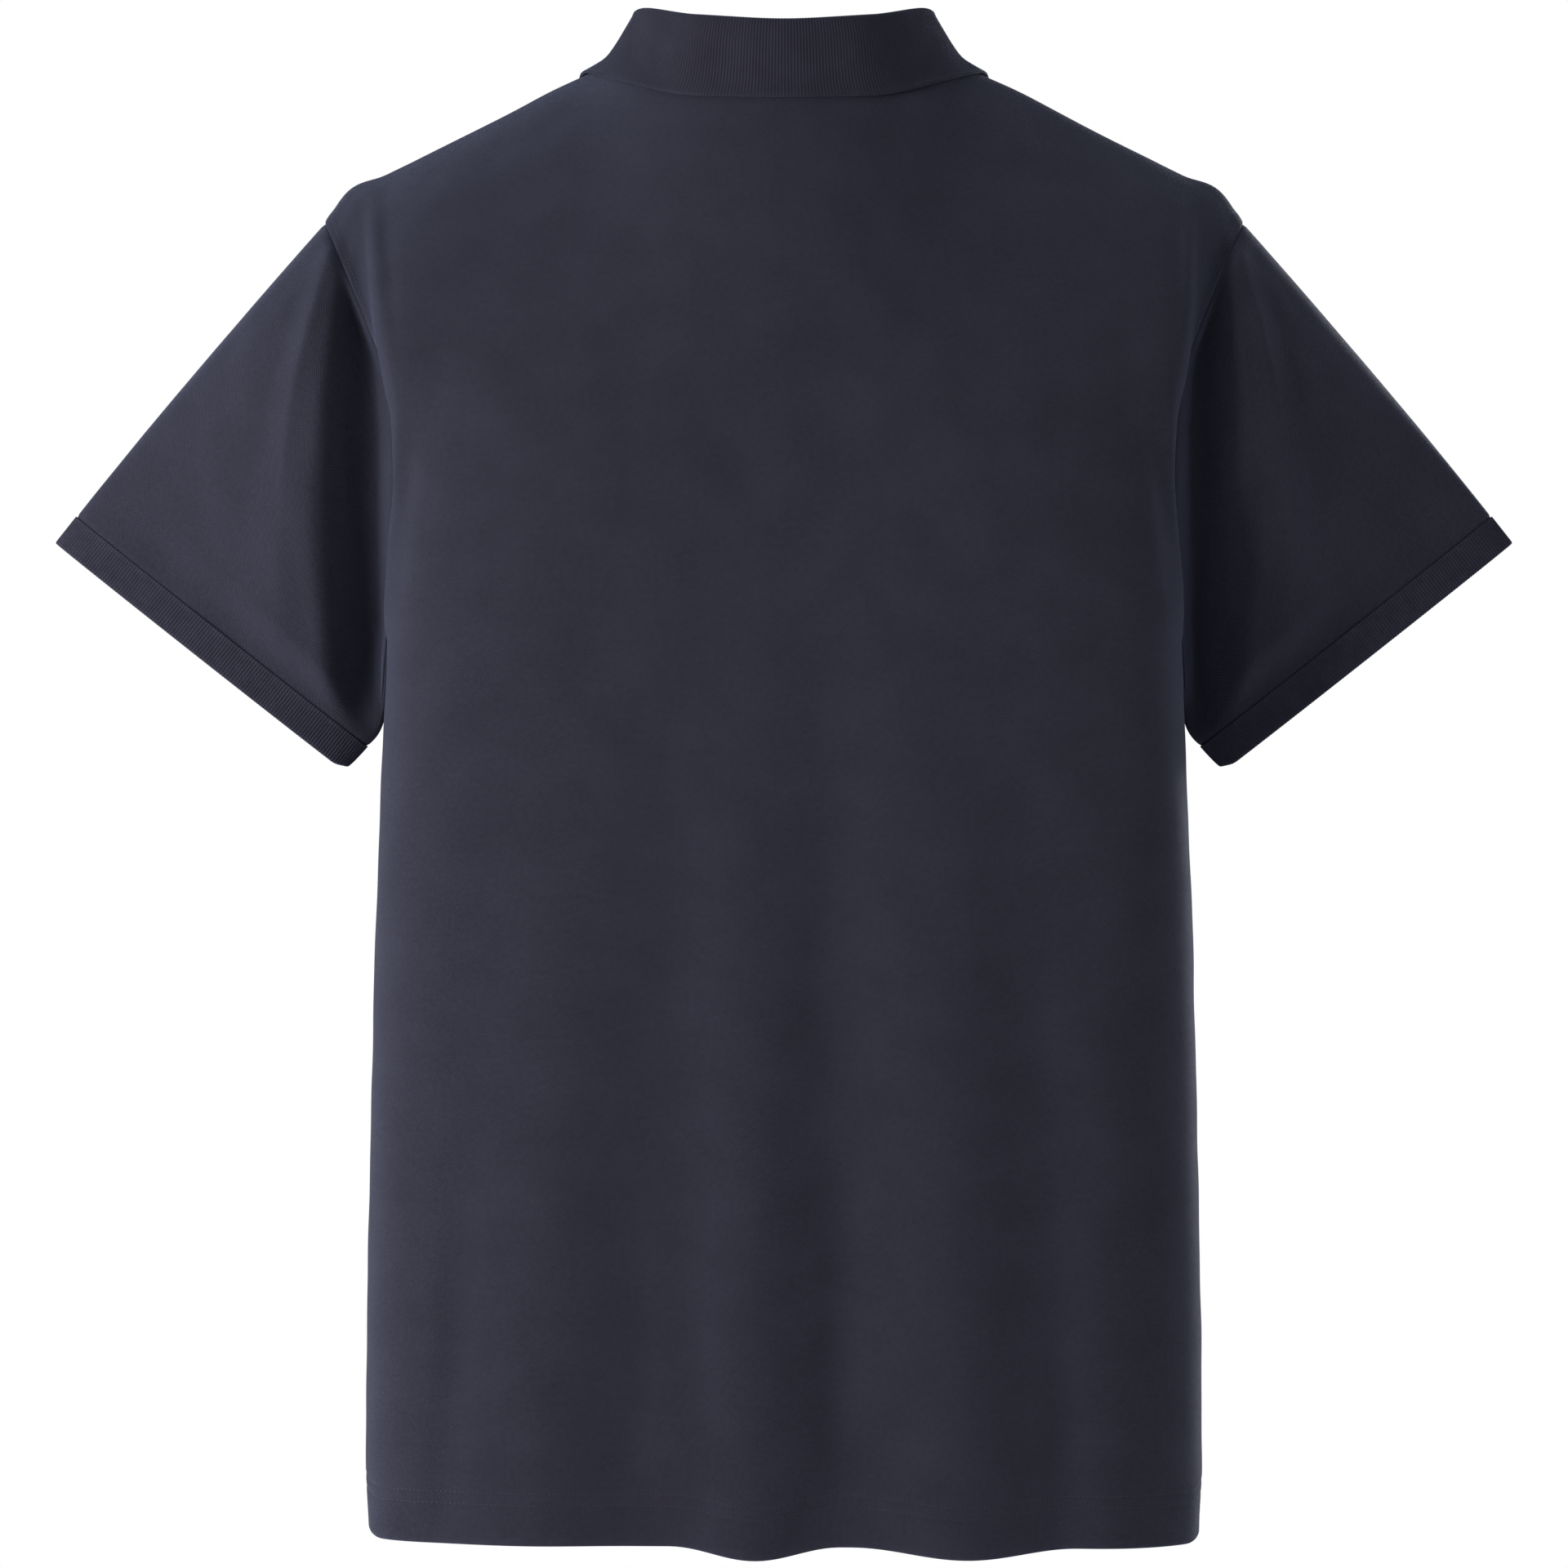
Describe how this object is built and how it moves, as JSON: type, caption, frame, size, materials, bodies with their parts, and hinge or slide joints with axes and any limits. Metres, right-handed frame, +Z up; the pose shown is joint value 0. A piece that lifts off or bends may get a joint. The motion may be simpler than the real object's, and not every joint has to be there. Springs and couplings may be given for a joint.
{
  "type": "polo shirt",
  "caption": "Men's short-sleeved pique polo shirt in its worn, hollow form, with a folded rib collar, a buttoned half placket and rib cuffs.",
  "frame": {"origin": "midway between the two neck points, where the shoulder seams meet the neck seam", "axes": "+Z up along the body, +X towards the wearer's left, -Y out of the front (the placket side), +Y out of the back"},
  "size_m": [0.715, 0.2212, 0.7475],
  "materials": {
    "pique": "matt navy cotton pique knit",
    "rib": "matt navy rib knit",
    "button": "dark navy polyester, satin"
  },
  "bodies": {
    "root": {"back_panel": "pique", "front_panel": "pique", "sleeve_left": "pique", "sleeve_right": "pique", "placket_top": "pique", "placket_under": "pique", "collar": "rib", "cuff_left": "rib", "cuff_right": "rib", "button_1": "button", "button_2": "button", "button_3": "button"}
  },
  "joints": []
}
